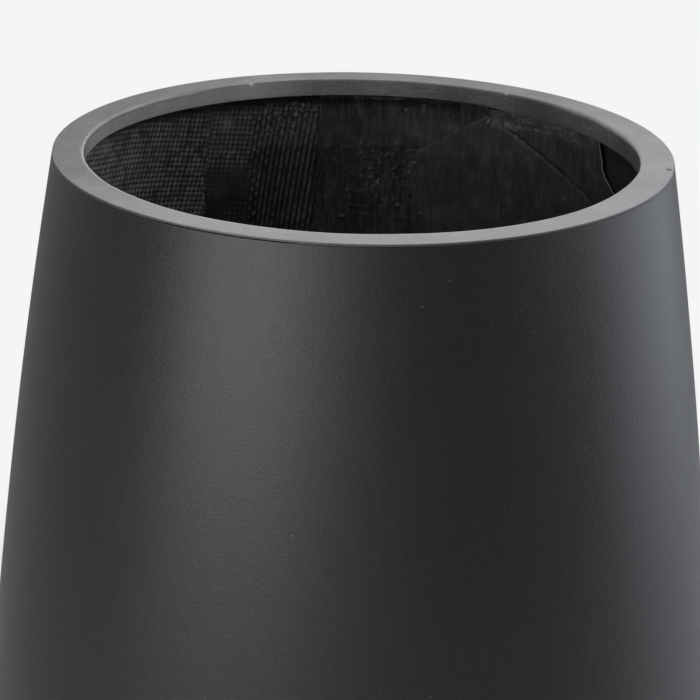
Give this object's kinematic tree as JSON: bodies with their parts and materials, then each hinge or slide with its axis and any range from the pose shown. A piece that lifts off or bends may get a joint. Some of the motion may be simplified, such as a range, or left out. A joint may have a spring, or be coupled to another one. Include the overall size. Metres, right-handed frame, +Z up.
{
  "type": "tall planter",
  "caption": "Tall round glass-fibre planter, narrow at the mouth and full at the belly, with a flat moulded rim, a hollow cloth-lined inside, a foot ring on pads and a drain plug.",
  "frame": {"origin": "on the ground, under the middle of the planter", "axes": "+Z is up along the planter's axis and -Y is the front, which the picture shows"},
  "size_m": [0.5066, 0.5066, 0.9],
  "materials": {
    "face_coat": "matte",
    "rim_casting": "matte",
    "laminate": "satin",
    "woven_cloth": "satin",
    "putty": "matte",
    "plug_rubber": "matte",
    "foot_rubber": "matte"
  },
  "bodies": {
    "planter": {"outer_skin": "face_coat", "wall_laminate": "laminate", "rim_ring": "rim_casting", "rim_putty": "putty", "pointed_patch": "woven_cloth", "rim_band": "woven_cloth", "foot_putty": "putty", "floor_laminate": "laminate", "corner_cove": "putty", "floor_tab": "woven_cloth", "floor_cloth": "woven_cloth", "cloth_strip_left": "woven_cloth", "cloth_strip_back_left": "woven_cloth", "cloth_strip_back": "woven_cloth", "cloth_strip_back_right": "woven_cloth", "cloth_strip_right": "woven_cloth", "cloth_strip_front_right": "woven_cloth", "cloth_strip_front": "woven_cloth", "cloth_strip_front_left": "woven_cloth", "cloth_strip_far_left": "woven_cloth", "foot_pad_1": "foot_rubber", "foot_pad_2": "foot_rubber", "foot_pad_3": "foot_rubber", "foot_pad_4": "foot_rubber"},
    "plug": {"drain_plug": "plug_rubber"}
  },
  "joints": [
    {"name": "plug_lift", "type": "slide", "parent": "planter", "child": "plug", "axis": [0, 0, 1], "range_m": [0, 0.92]}
  ]
}
